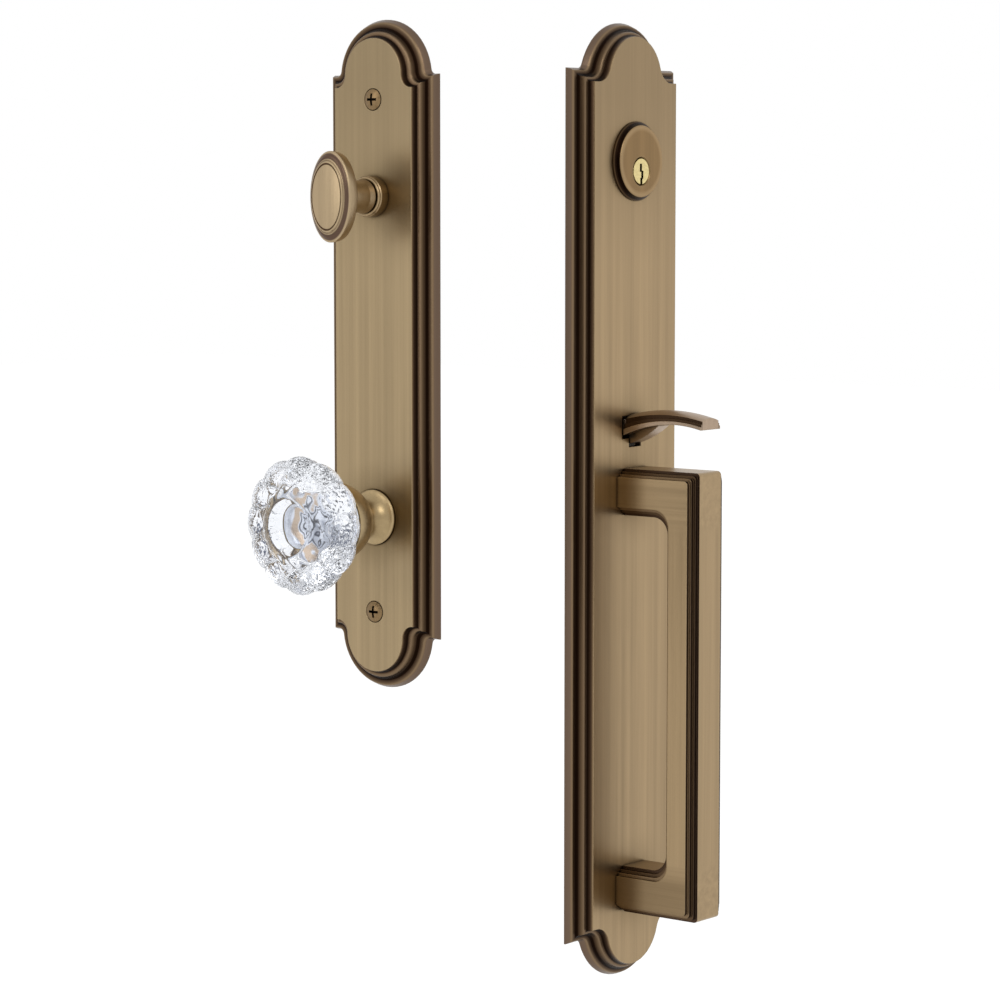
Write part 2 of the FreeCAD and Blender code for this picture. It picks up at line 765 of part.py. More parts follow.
def thumb_piece():
    step = (THUMB_TIP_OUT - THUMB_ROOT) / THUMB_STATIONS
    arm = Part.makeLoft([thumb_section(THUMB_ROOT + step * n) for n in range(THUMB_STATIONS + 1)], True)
    pivot = Vector(-THUMB_HUB_HALF, -THUMB_PIVOT_OUT, THUMB_PIVOT_Z)
    hub = Part.makeCylinder(THUMB_HUB_R, 2 * THUMB_HUB_HALF, pivot, Vector(1, 0, 0))
    neck = block(
        THUMB_HUB_HALF,
        THUMB_PIVOT_OUT,
        EXT_FLOOR + THUMB_PRESS_ROOM,
        THUMB_ROOT_LOW + THUMB_NECK_STEP,
        THUMB_ROOT_HIGH - THUMB_NECK_STEP,
    )
    root_block = block(
        THUMB_ROOT_HALF - THUMB_EDGE_STEP,
        EXT_FLOOR + THUMB_PRESS_ROOM,
        THUMB_ROOT + LAP,
        THUMB_ROOT_LOW + THUMB_ROOT_GAP,
        THUMB_ROOT_HIGH - THUMB_NECK_STEP,
    )
    strut_outline = wire(
        side(-THUMB_STRUT_HALF),
        (THUMB_PIVOT_OUT + STRUT_ROOT, THUMB_ROOT_LOW + THUMB_NECK_STEP),
        (EXT_FLOOR, THUMB_STRUT_LOW),
        (THUMB_ROOT, THUMB_STRUT_LOW),
        (
            (THUMB_ROOT + STRUT_REACH / 2, THUMB_STRUT_LOW + STRUT_BELLY),
            (THUMB_ROOT + STRUT_REACH, THUMB_STRUT_LOW + STRUT_RISE),
        ),
        (THUMB_ROOT + STRUT_REACH, THUMB_STRUT_LOW + STRUT_RISE + STRUT_EDGE),
        (EXT_THICK, THUMB_PIVOT_Z),
        (THUMB_PIVOT_OUT + STRUT_ROOT, THUMB_PIVOT_Z),
    )
    strut = Part.Face(strut_outline).extrude(Vector(2 * THUMB_STRUT_HALF, 0, 0))
    lift = block(
        LIFT_ARM_HALF,
        LIFT_OUT,
        THUMB_PIVOT_OUT,
        THUMB_PIVOT_Z - LIFT_ARM_THICK / 2,
        THUMB_PIVOT_Z + LIFT_ARM_THICK / 2,
    )
    nose_start = Vector(-LIFT_ARM_HALF, -LIFT_OUT, THUMB_PIVOT_Z)
    nose = Part.makeCylinder(LIFT_NOSE_R, 2 * LIFT_ARM_HALF, nose_start, Vector(1, 0, 0))
    piece = fuse_all([arm, root_block, neck, hub, strut, lift, nose])
    hole = Part.makeCylinder(
        THUMB_PIN_R + RUN_GAP, 4 * THUMB_HUB_HALF, pivot - Vector(THUMB_HUB_HALF, 0, 0), Vector(1, 0, 0)
    )
    return piece.cut(hole)


def thumb_pin():
    start = Vector(-EAR_OUT, -THUMB_PIVOT_OUT, THUMB_PIVOT_Z)
    return Part.makeCylinder(THUMB_PIN_R, 2 * EAR_OUT, start, Vector(1, 0, 0))


def thumb_bracket():
    low = BRACKET_TAB_LOW
    high = BRACKET_TAB_HIGH
    top = BRACKET_TOP + BRACKET_SHEET
    rear = BRACKET_REAR - BRACKET_SHEET
    hood = LIFTER_FRONT + BRACKET_SHEET
    half_sheet = BRACKET_SHEET / 2
    ear_low = THUMB_PIVOT_Z - EAR_BELOW
    pieces = [
        block(EAR_OUT, rear, BRACKET_REAR, low, LIFTER_TOP),
        block(EAR_OUT, rear, hood, BRACKET_TOP, top),
    ]
    for flip in (-1, 1):
        ear = flip * (EAR_IN + half_sheet)
        tab = flip * (EAR_IN + BRACKET_TAB / 2)
        pieces.append(block(half_sheet, rear, EXT_FLOOR, ear_low, high, ear))
        pieces.append(block(half_sheet, rear, hood, low, top, ear))
        pieces.append(block(BRACKET_TAB / 2, EXT_FLOOR - BRACKET_SHEET, EXT_FLOOR, low, high, tab))
    bracket = fuse_all(pieces)
    nose_half = LIFT_ARM_HALF + DROP_GAP
    nose_low = THUMB_PIVOT_Z - LIFT_NOSE_R - DROP_GAP
    bracket = bracket.cut(block(nose_half, rear - 1, BRACKET_REAR + 1, nose_low, LIFTER_TOP + 1))
    start = Vector(-2 * EAR_OUT, -THUMB_PIVOT_OUT, THUMB_PIVOT_Z)
    bracket = bracket.cut(Part.makeCylinder(THUMB_PIN_R + THREAD_GAP, 4 * EAR_OUT, start, Vector(1, 0, 0)))
    for across in (-BRACKET_SCREW_X, BRACKET_SCREW_X):
        bracket = bracket.cut(rod(SMALL_SCREW_R + DROP_GAP, rear - 1, EXT_THICK, BRACKET_SCREW_Z, across))
    return bracket


def bracket_screws():
    seat = EXT_FLOOR - BRACKET_SHEET
    shank = BRACKET_SHEET + SMALL_BITE
    return Part.makeCompound(
        [
            pan_screw(SMALL_SCREW_R, SMALL_HEAD_R, SMALL_HEAD, shank, seat, BRACKET_SCREW_Z, across)
            for across in (-BRACKET_SCREW_X, BRACKET_SCREW_X)
        ]
    )


def latch_lifter():
    half = LIFTER_FINGER_HALF
    low = LATCH_Z - LIFTER_DROP
    plate = block(LIFTER_HALF, LIFTER_REAR, LIFTER_FRONT, THUMB_PIVOT_Z - 2 * LIFT_NOSE_R, LIFTER_TOP)
    stem = block(half, LIFTER_REAR, LIFTER_FRONT, low, THUMB_PIVOT_Z - LIFT_NOSE_R)
    finger = block(half, LIFTER_REAR - LIFTER_FINGER, LIFTER_REAR, low, low + LIFTER_FINGER_THICK)
    window = block(
        LIFT_ARM_HALF + DROP_GAP,
        LIFTER_REAR - 1,
        LIFTER_FRONT + 1,
        THUMB_PIVOT_Z - LIFT_NOSE_R - RUN_GAP,
        THUMB_PIVOT_Z + LIFT_NOSE_R + RUN_GAP,
    )
    return fuse_all([plate, stem, finger]).cut(window)


def thumb_spring():
    base = Vector(0, -LIFT_OUT, LIFTER_TOP + SEAT_GAP)
    return coil(SPRING_R, SPRING_WIRE, SPRING_TURNS, SPRING_LENGTH - 2 * SEAT_GAP, base)


def grip_layer(share):
    """One layer of the grip, from its narrow rim to its wide side face."""
    half = GRIP_EDGE_HALF + share * (GRIP_HALF - GRIP_EDGE_HALF)
    reach = GRIP_REACH - share * GRIP_INSET_OUT
    top = GRIP_TOP - share * GRIP_INSET_END
    bottom = GRIP_BOTTOM + share * GRIP_INSET_END
    inner = GRIP_REACH - GRIP_BAND + share * GRIP_INSET_INNER
    inner_top = GRIP_TOP - GRIP_LEG_BAND + share * GRIP_INSET_INNER
    inner_bottom = GRIP_BOTTOM + GRIP_LEG_BAND - share * GRIP_INSET_INNER
    corner = GRIP_CORNER
    round_in = GRIP_INNER_CORNER
    lean = 1 - math.sqrt(0.5)
    outline = wire(
        side(-half),
        (EXT_THICK, top),
        (reach - corner, top),
        ((reach - corner * lean, top - corner * lean), (reach, top - corner)),
        (reach, bottom + corner),
        ((reach - corner * lean, bottom + corner * lean), (reach - corner, bottom)),
        (EXT_THICK + corner, bottom),
        ((EXT_THICK + corner * lean, bottom + corner * lean), (EXT_THICK, bottom + corner)),
        (EXT_THICK, inner_bottom),
        (inner - round_in, inner_bottom),
        ((inner - round_in * lean, inner_bottom + round_in * lean), (inner, inner_bottom + round_in)),
        (inner, inner_top - round_in),
        ((inner - round_in * lean, inner_top - round_in * lean), (inner - round_in, inner_top)),
        (EXT_THICK, inner_top),
        (EXT_THICK, top),
    )
    return Part.Face(outline).extrude(Vector(2 * half, 0, 0))


def pull_grip():
    grip = fuse_all([grip_layer(n / GRIP_STEPS) for n in range(GRIP_STEPS + 1)])
    for up in (GRIP_LEG_HIGH, GRIP_LEG_LOW):
        grip = grip.cut(rod(GRIP_SCREW_R + THREAD_GAP, 0, EXT_THICK + GRIP_SCREW_BITE + 1, up))
    return grip


def grip_screws():
    shank = EXT_THICK - GRIP_SCREW_SEAT + GRIP_SCREW_BITE
    return Part.makeCompound(
        [
            pan_screw(GRIP_SCREW_R, GRIP_SCREW_HEAD_R, GRIP_SCREW_HEAD, shank, GRIP_SCREW_SEAT, up)
            for up in (GRIP_LEG_HIGH, GRIP_LEG_LOW)
        ]
    )


def bolt_posts():
    posts = []
    for up in (POST_HIGH, POST_LOW):
        post = rod(POST_R, -POST_REACH, POST_SEAT, up)
        posts.append(post.cut(rod(BOLT_R + THREAD_GAP, -POST_REACH - 1, 0, up)))
    return Part.makeCompound(posts)


def interior_plate():
    plate = plate_blank(INT)
    cuts = [
        hollow(INT, BOLT_LOW + END_SOLID, BOLT_HIGH - END_SOLID),
        rod(TURN_COLLAR_SHANK_R + THREAD_GAP, -1, INT_THICK + 1, TURN_Z),
        rod(FLANGE_R + DROP_GAP, -1, INT_THICK + 1, KNOB_Z),
    ]
    for up in (BOLT_HIGH, BOLT_LOW):
        cuts.append(rod(BOLT_NECK_R + DROP_GAP, -1, INT_THICK + 1, up))
        sink = Part.makeCone(
            BOLT_NECK_R + DROP_GAP,
            COUNTERSINK_R,
            BOLT_SINK + DROP_GAP,
            Vector(0, BOLT_SINK + DROP_GAP - INT_THICK, up),
            Vector(0, -1, 0),
        )
        cuts.append(sink)
    for flip in (-1, 1):
        up = KNOB_Z + flip * CHASSIS_EAR
        cuts.append(rod(SMALL_SCREW_R + THREAD_GAP, 0, INT_FLOOR + SMALL_BITE + DROP_GAP, up))
    for cutter in cuts:
        plate = plate.cut(cutter)
    return plate


def mounting_screws():
    screws = []
    for up in (BOLT_HIGH, BOLT_LOW):
        screw = turned(
            up,
            (-BOLT_REACH, 0.0),
            (-BOLT_REACH, BOLT_R - BOLT_CHAMFER),
            (-BOLT_REACH + BOLT_CHAMFER, BOLT_R),
            (0.0, BOLT_R),
            (0.0, BOLT_NECK_R),
            (INT_THICK - BOLT_SINK, BOLT_NECK_R),
            (INT_THICK, BOLT_HEAD_R),
            ((INT_THICK + BOLT_HEAD_CROWN * 0.75, BOLT_HEAD_R * 0.5), (INT_THICK + BOLT_HEAD_CROWN, 0.0)),
        )
        cross = cross_slot(CROSS_R, CROSS_WIDTH, BOLT_HEAD_CROWN * 1.5, INT_THICK + BOLT_HEAD_CROWN, up)
        screws.append(screw.cut(cross))
    return Part.makeCompound(screws)


def turn_collar():
    mouth = INT_THICK + TURN_COLLAR_LENGTH
    return turned(
        TURN_Z,
        (COLLAR_END, TURN_STEM_R + RUN_GAP),
        (COLLAR_END, TURN_COLLAR_SHANK_R),
        (INT_THICK, TURN_COLLAR_SHANK_R),
        (INT_THICK, TURN_COLLAR_R),
        (mouth - 1.6, TURN_COLLAR_R),
        (mouth - 1.2, TURN_COLLAR_R - 0.35),
        (mouth - 0.5, TURN_COLLAR_R - 0.35),
        (mouth, TURN_COLLAR_R - 0.9),
        (mouth, TURN_STEM_R + RUN_GAP),
    )


def thumb_turn():
    mouth = INT_THICK + TURN_COLLAR_LENGTH + DROP_GAP
    rim = INT_THICK + TURN_RIM_OUT
    tall = TURN_HALF_HEIGHT
    head = turned(
        0.0,
        (rim - TURN_RIM_DEPTH - 1.8, 0.0),
        (rim - TURN_RIM_DEPTH - 1.8, tall * 0.70),
        ((rim - TURN_RIM_DEPTH - 1.4, tall * 0.86), (rim - TURN_RIM_DEPTH, tall * 0.965)),
        ((rim - TURN_RIM_DEPTH * 0.5, tall * 0.99), (rim - 0.5, tall)),
        (rim + 0.3, tall),
        (rim + 0.7, tall * 0.965),
        (rim + 0.9, tall * 0.93),
        ((rim + 1.5, tall * 0.88), (rim + 1.6, tall * 0.84)),
        (rim + 2.1, tall * 0.83),
        (rim + 2.3, tall * 0.785),
        (rim + 2.8, tall * 0.77),
        (rim + 3.0, tall * 0.745),
        (rim + 2.7, tall * 0.725),
        (rim + 2.7, tall * 0.71),
        (rim + 3.0, tall * 0.695),
        ((rim + 3.4, tall * 0.35), (rim + 3.5, 0.0)),
    )
    squash = FreeCAD.Matrix()
    squash.A11 = TURN_HALF_WIDTH / TURN_HALF_HEIGHT
    head = head.transformGeometry(squash)
    head.translate(Vector(0, 0, TURN_Z))
    stem = turned(
        TURN_Z,
        (STEM_END, 0.0),
        (STEM_END, TURN_STEM_R),
        (mouth, TURN_STEM_R),
        (mouth, TURN_NECK_R - 0.6),
        (mouth + 0.6, TURN_NECK_R),
        (mouth + 3.4, TURN_NECK_R * 0.93),
        (rim - 4.0, TURN_NECK_R * 0.98),
        (rim - 4.0, 0.0),
    )
    turn = head.fuse(stem)
    groove = slide_ring(TURN_STEM_R - CLIP_BITE, TURN_STEM_R + 1, TURN_CLIP_BACK, TURN_CLIP_FRONT, TURN_Z)
    slot = block(
        TAIL_THICK / 2 + THREAD_GAP,
        STEM_END - 1,
        STEM_END + SPINDLE_SEAT,
        TURN_Z - TAIL_WIDTH / 2 - THREAD_GAP,
        TURN_Z + TAIL_WIDTH / 2 + THREAD_GAP,
    )
    return turn.cut(groove).cut(slot)


def turn_spindle():
    return block(
        TAIL_THICK / 2,
        -TURN_REACH,
        STEM_END + SPINDLE_SEAT - THREAD_GAP,
        TURN_Z - TAIL_WIDTH / 2,
        TURN_Z + TAIL_WIDTH / 2,
    )


def turn_washer():
    return slide_ring(TURN_STEM_R + RUN_GAP, WASHER_R, COLLAR_END - WASHER_THICK, COLLAR_END, TURN_Z)


def turn_clip():
    inner = TURN_STEM_R - CLIP_BITE + THREAD_GAP
    return spring_clip(
        inner, TURN_STEM_R + CLIP_RIM, TURN_CLIP_BACK + THREAD_GAP, TURN_CLIP_FRONT - THREAD_GAP, TURN_Z
    )


def lobed_ring(out, radius, depth):
    """Contour of the glass: rounded lobes that meet in shallow notches."""
    step = 2 * math.pi / KNOB_LOBES
    notch = radius - depth

    def spot(reach, angle):
        return reach * math.sin(angle), KNOB_Z + reach * math.cos(angle)

    bends = []
    for n in range(KNOB_LOBES):
        angle = (n - 0.5) * step
        bends.append((spot(radius, angle + step / 2), spot(notch, angle + step)))
    return wire(front(INT_THICK + out), spot(notch, -step / 2), *bends)


def glass_knob():
    middle = KNOB_MIDDLE_OUT
    edge = KNOB_EDGE_HALF
    face = middle + KNOB_FRONT_RISE
    rings = [
        (CUP_FLOOR_OUT + SEAT_GAP, GLASS_STUB_R, 0.0),
        (CUP_LIP_OUT, CUP_R - CUP_WALL - SEAT_GAP - 0.5, 0.0),
        (CUP_LIP_OUT + 5.0, KNOB_R * 0.76, LOBE_DEPTH * 0.4),
        (middle - edge - 2.0, KNOB_R * 0.93, LOBE_DEPTH * 0.9),
        (middle - edge, KNOB_R * 0.985, LOBE_DEPTH),
        (middle, KNOB_R, LOBE_DEPTH),
        (middle + edge, KNOB_R * 0.975, LOBE_DEPTH),
        (middle + edge + 2.4, KNOB_R * 0.86, LOBE_DEPTH * 0.7),
        (face - 0.6, KNOB_DISH_R * 1.3, LOBE_DEPTH * 0.2),
        (face, KNOB_DISH_R, 0.0),
        (face - KNOB_DISH_DEPTH * 0.7, KNOB_DISH_R * 0.72, 0.0),
        (face - KNOB_DISH_DEPTH, KNOB_DISH_R * 0.3, 0.0),
    ]
    return Part.makeLoft([lobed_ring(*ring) for ring in rings], True, True)


def knob_cup():
    base = INT_THICK
    cup = turned(
        KNOB_Z,
        (SHANK_END, 0.0),
        (SHANK_END, SHANK_R),
        (base - FLANGE_DEPTH, SHANK_R),
        (base - FLANGE_DEPTH, FLANGE_R),
        (base + FLANGE_PROUD, FLANGE_R),
        (base + FLANGE_PROUD + 0.6, FLANGE_R - 0.7),
        ((base + 4.4, CUP_WAIST_R + 1.4), (base + CUP_WAIST_OUT, CUP_WAIST_R)),
        ((base + CUP_WAIST_OUT + 3.2, CUP_WAIST_R + 0.5), (base + CUP_BACK_OUT - 1.0, CUP_NECK_R)),
        (base + CUP_BACK_OUT - 1.0, CUP_BACK_R - 0.5),
        (base + CUP_BACK_OUT - 0.4, CUP_BACK_R),
        ((base + CUP_SWELL_OUT, CUP_BACK_R + CUP_SWELL), (base + CUP_LIP_OUT, CUP_R)),
        (base + CUP_LIP_OUT, CUP_R - CUP_WALL),
        (base + CUP_FLOOR_OUT, GLASS_STUB_R + SEAT_GAP),
        (base + CUP_FLOOR_OUT, 0.0),
    )
    half = SPINDLE_SIDE / 2 + THREAD_GAP
    square = block(half, SHANK_END - 1, base + SPINDLE_IN, KNOB_Z - half, KNOB_Z + half)
    groove = slide_ring(SHANK_R - CLIP_BITE, SHANK_R + 1, KNOB_CLIP_BACK, KNOB_CLIP_FRONT, KNOB_Z)
    screw_hole = Part.makeCylinder(
        SET_SCREW_R + THREAD_GAP, 2 * CUP_R, Vector(0, -base - SET_SCREW_OUT, KNOB_Z), Vector(0, 0, -1)
    )
    return cup.cut(square).cut(groove).cut(screw_hole)


def knob_set_screw():
    start = Vector(0, -INT_THICK - SET_SCREW_OUT, KNOB_Z - SPINDLE_SIDE / 2 - RUN_GAP)
    return Part.makeCylinder(SET_SCREW_R, SET_SCREW_LENGTH, start, Vector(0, 0, -1))


def knob_spindle():
    half = SPINDLE_SIDE / 2
    return block(half, -SPINDLE_REACH, INT_THICK + SPINDLE_IN - SEAT_GAP, KNOB_Z - half, KNOB_Z + half)


def knob_chassis():
    shell = turned(
        KNOB_Z,
        (CHASSIS_BACK, CHASSIS_R - CHASSIS_WALL),
        (CHASSIS_BACK, CHASSIS_R),
        (INT_FLOOR, CHASSIS_R),
        (INT_FLOOR, SHANK_R + RUN_GAP),
        (INT_FLOOR - CHASSIS_WALL, SHANK_R + RUN_GAP),
        (INT_FLOOR - CHASSIS_WALL, CHASSIS_R - CHASSIS_WALL),
    )
    for flip in (-1, 1):
        up = KNOB_Z + flip * CHASSIS_EAR
        ear = rod(CHASSIS_EAR_R, INT_FLOOR - CHASSIS_WALL, INT_FLOOR, up)
        low = min(KNOB_Z + flip * (CHASSIS_R - CHASSIS_WALL / 2), up)
        high = max(KNOB_Z + flip * (CHASSIS_R - CHASSIS_WALL / 2), up)
        ear = ear.fuse(block(CHASSIS_EAR_R, INT_FLOOR - CHASSIS_WALL, INT_FLOOR, low, high))
        shell = shell.fuse(ear).cut(rod(SMALL_SCREW_R + DROP_GAP, CHASSIS_BACK - 1, INT_THICK, up))
    return shell.removeSplitter()


def chassis_screws():
    seat = INT_FLOOR - CHASSIS_WALL
    shank = CHASSIS_WALL + SMALL_BITE
    return Part.makeCompound(
        [
            pan_screw(SMALL_SCREW_R, SMALL_HEAD_R, SMALL_HEAD, shank, seat, KNOB_Z + flip * CHASSIS_EAR)
            for flip in (-1, 1)
        ]
    )


def chassis_cover():
    return slide_ring(SHANK_R + DROP_GAP, CHASSIS_R, CHASSIS_BACK - CHASSIS_COVER, CHASSIS_BACK, KNOB_Z)


def knob_spring():
    length = CHASSIS_DEPTH - CHASSIS_WALL - 2 * SEAT_GAP
    front_end = INT_FLOOR - CHASSIS_WALL - SEAT_GAP
    return coil_across(KNOB_SPRING_R, KNOB_SPRING_WIRE, KNOB_SPRING_TURNS, length, front_end, KNOB_Z)


def knob_clip():
    inner = SHANK_R - CLIP_BITE + THREAD_GAP
    return spring_clip(
        inner, SHANK_R + CLIP_RIM, KNOB_CLIP_BACK + THREAD_GAP, KNOB_CLIP_FRONT - THREAD_GAP, KNOB_Z
    )


def place_inside(shape):
    """Turns a piece of the inside half to face -X and moves it to its place."""
    placed = shape.copy()
    placed.rotate(Vector(0, 0, 0), Vector(0, 0, 1), -90)
    placed.translate(Vector(INT_X, INT_Y, INT_Z))
    return placed


OUTSIDE = [
    exterior_plate,
    lock_cylinder,
    cylinder_nut,
    key_plug,
    key_pins,
    driver_pins,
    pin_springs,
    pin_cover,
    tailpiece,
    plug_cap,
    thumb_piece,
    thumb_pin,
    thumb_bracket,
    bracket_screws,
    latch_lifter,
    thumb_spring,
    pull_grip,
    grip_screws,
    bolt_posts,
]

INSIDE = [
    interior_plate,
    mounting_screws,
    turn_collar,
    thumb_turn,
    turn_spindle,
    turn_washer,
    turn_clip,
    glass_knob,
    knob_cup,
    knob_set_screw,
    knob_spindle,
    knob_chassis,
    chassis_screws,
    chassis_cover,
    knob_spring,
    knob_clip,
]

os.makedirs("parts", exist_ok=True)
for make in OUTSIDE:
    make().exportStep("parts/" + make.__name__ + ".step")
for make in INSIDE:
    place_inside(make()).exportStep("parts/" + make.__name__ + ".step")
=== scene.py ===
import bmesh
import bpy
import json
import math
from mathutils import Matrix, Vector


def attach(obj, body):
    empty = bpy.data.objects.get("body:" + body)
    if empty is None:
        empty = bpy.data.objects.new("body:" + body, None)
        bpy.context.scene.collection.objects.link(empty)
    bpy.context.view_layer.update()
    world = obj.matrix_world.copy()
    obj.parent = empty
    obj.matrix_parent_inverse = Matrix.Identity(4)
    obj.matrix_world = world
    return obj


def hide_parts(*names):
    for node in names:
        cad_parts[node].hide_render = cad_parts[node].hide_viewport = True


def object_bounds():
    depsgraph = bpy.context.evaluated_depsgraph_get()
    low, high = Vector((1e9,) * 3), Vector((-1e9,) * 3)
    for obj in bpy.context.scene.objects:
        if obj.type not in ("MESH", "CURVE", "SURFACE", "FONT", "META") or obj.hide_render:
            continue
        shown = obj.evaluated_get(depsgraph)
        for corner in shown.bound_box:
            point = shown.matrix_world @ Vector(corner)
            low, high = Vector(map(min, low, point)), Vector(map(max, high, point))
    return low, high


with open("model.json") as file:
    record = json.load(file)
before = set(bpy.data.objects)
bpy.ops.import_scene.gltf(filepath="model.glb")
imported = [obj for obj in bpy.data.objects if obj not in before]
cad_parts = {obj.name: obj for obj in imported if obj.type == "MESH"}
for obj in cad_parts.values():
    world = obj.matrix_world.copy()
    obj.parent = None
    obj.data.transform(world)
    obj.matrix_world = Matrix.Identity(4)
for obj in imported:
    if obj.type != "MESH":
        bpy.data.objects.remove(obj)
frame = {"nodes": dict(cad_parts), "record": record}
cad_low, cad_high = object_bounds()
nodes = frame["nodes"]
scene = bpy.context.scene

# Places and sizes in the frame, in metres. The outside plate's back is the plane y = 0 and it
# faces -y. The inside plate's back is the plane x = INT_X and it faces -x. A SIDE is the height
# of a plate's upright side, and INT_Y and INT_Z are the middle of the inside plate.
INT_X, INT_Y, INT_Z = -0.1716, -0.00264, 0.0785
AXIS_OFFSET, SCREW_OFFSET = 0.06985, 0.11155
KNOB_Z, TURN_Z = INT_Z - AXIS_OFFSET, INT_Z + AXIS_OFFSET
SCREWS_Z = (INT_Z + SCREW_OFFSET, INT_Z - SCREW_OFFSET)
CYLINDER_Z = 0.1636
EXT_THICK, INT_THICK = 0.0104, 0.0100
EXT_SIDE, INT_SIDE = 0.0028, 0.0033
INT_FACE = INT_X - INT_THICK


# Nodes

def new_material(name):
    mat = bpy.data.materials.new(name)
    mat.use_nodes = True
    nt = mat.node_tree
    nt.nodes.clear()
    return mat, nt, nt.nodes.new("ShaderNodeOutputMaterial")


def feed(nt, value, sock):
    """Link another node's output, or set a plain value."""
    if isinstance(value, bpy.types.NodeSocket):
        nt.links.new(value, sock)
    else:
        sock.default_value = value


def put(nt, kind, inputs=None, **props):
    n = nt.nodes.new(kind)
    for k, v in props.items():
        setattr(n, k, v)
    for k, v in (inputs or {}).items():
        feed(nt, v, n.inputs[k])
    return n


def calc(nt, op, *values):
    return put(nt, "ShaderNodeMath", dict(enumerate(values)), operation=op).outputs[0]


def times(nt, a, b):
    return calc(nt, "MULTIPLY", a, b)


def less(nt, a, b):
    return calc(nt, "SUBTRACT", a, b)


def distance(nt, a, b):
    """Distance from an axis, from the two offsets across it."""
    return calc(nt, "SQRT", calc(nt, "ADD", times(nt, a, a), times(nt, b, b)))


def blend(nt, f, a, b):
    """Value a where f is 0, b where it is 1."""
    return calc(nt, "ADD", a, times(nt, f, less(nt, b, a)))


def remap(nt, v, a, b, c=0.0, d=1.0):
    """c where v is a, d where it is b, and held at both ends."""
    limits = {"Value": v, "From Min": a, "From Max": b, "To Min": c, "To Max": d}
    return put(nt, "ShaderNodeMapRange", limits).outputs[0]


def band(nt, v, a, b, soft):
    """1 between a and b, fading over soft on both sides."""
    up = remap(nt, v, a - soft, a + soft)
    down = remap(nt, v, b - soft, b + soft, 1.0, 0.0)
    return times(nt, up, down)


def ramp(nt, v, stops):
    n = put(nt, "ShaderNodeValToRGB", {0: v})
    marks = n.color_ramp.elements
    while len(marks) > 1:
        marks.remove(marks[-1])
    marks[0].position = stops[0][0]
    marks[0].color = stops[0][1] + (1,)
    for at, colour in stops[1:]:
        marks.new(at).color = colour + (1,)
    return n.outputs[0]


def mix(nt, f, a, b):
    """Colour a where f is 0, b where it is 1."""
    n = put(nt, "ShaderNodeMix", data_type="RGBA")
    first, second = [s for s in n.inputs if s.type == "RGBA"]
    feed(nt, f, n.inputs[0])
    for colour, sock in ((a, first), (b, second)):
        feed(nt, colour + (1,) if isinstance(colour, tuple) else colour, sock)
    return [s for s in n.outputs if s.type == "RGBA"][0]


def lay(nt, col, tone, mask, strength=None):
    """Lay a tone over the colour where the mask is 1."""
    if strength is not None:
        mask = times(nt, mask, strength)
    return mix(nt, mask, col, tone)


def lin(r, g, b):
    """A colour given by its values on screen."""
    def f(c):
        c /= 255
        return c / 12.92 if c <= 0.04045 else ((c + 0.055) / 1.055) ** 2.4
    return f(r), f(g), f(b)


def scaled(colour, k):
    return tuple(min(1.0, c * k) for c in colour)


TAN = lin(162, 139, 106)
TAN_LIGHT = lin(188, 168, 134)
# OLIVE is the painted shade where faces meet; PITCH is the black of painted shade, in places also
# patina.
OLIVE = lin(92, 75, 46)
PITCH = lin(26, 15, 8)

# Painted shade and highlights of the moulded edge: near black in its recesses, as painted shade and
# patina, and lighter on its ridges. Up to PAINT_FOOT it lies on the plate's side, and from there to
# 1 it goes by how far the face has risen from the side's edge to the panel.
PAINT_FOOT = 0.2
PAINT = [
    (0.000, lin(104, 86, 72)), (0.180, lin(109, 91, 76)), (0.205, lin(112, 92, 72)),
    (0.225, lin(122, 101, 78)), (0.272, lin(124, 104, 80)), (0.278, lin(92, 74, 56)),
    (0.283, lin(44, 29, 20)), (0.292, lin(22, 12, 6)), (0.350, lin(24, 13, 7)),
    (0.420, lin(66, 50, 36)), (0.520, lin(90, 72, 53)), (0.600, lin(106, 87, 66)),
    (0.624, lin(118, 98, 76)), (0.641, lin(114, 94, 72)), (0.648, lin(78, 60, 45)),
    (0.662, lin(24, 14, 8)), (0.712, lin(25, 15, 8)), (0.840, lin(60, 44, 32)),
    (0.920, lin(90, 72, 54)), (0.960, lin(124, 103, 76)), (0.988, lin(136, 115, 86)),
]
PANEL_RISE = (0.988, 0.998)


# Brushed brass. X, Y, Z as axes of the brushing are 0, 1, 2.

FINE_GRAIN, BROAD_GRAIN, LEG_GRAIN = 2600.0, 240.0, 300.0
STREAK = 0.012
EDGE_ROUND = 0.0006
TOPS = (0.115, 0.195)
TOP_LEG, LOW_LEG = (-0.012, -0.004), (-0.165, -0.173)
ROOT_FADE = 0.0004


def grain(nt, coords, along, scale):
    """Brushed streaks: noise drawn out along one axis."""
    stretch = [scale, scale, scale]
    stretch[along] = scale * STREAK
    drawn = put(nt, "ShaderNodeMapping", {"Vector": coords, "Scale": stretch}).outputs[0]
    noise = {"Vector": drawn, "Scale": 1.0, "Detail": 4.0, "Roughness": 0.65}
    return put(nt, "ShaderNodeTexNoise", noise).outputs[0]


def closeness(nt, reach, samples):
    """1 in the open, less where other faces are near."""
    return put(nt, "ShaderNodeAmbientOcclusion", {"Distance": reach}, samples=samples).outputs["AO"]


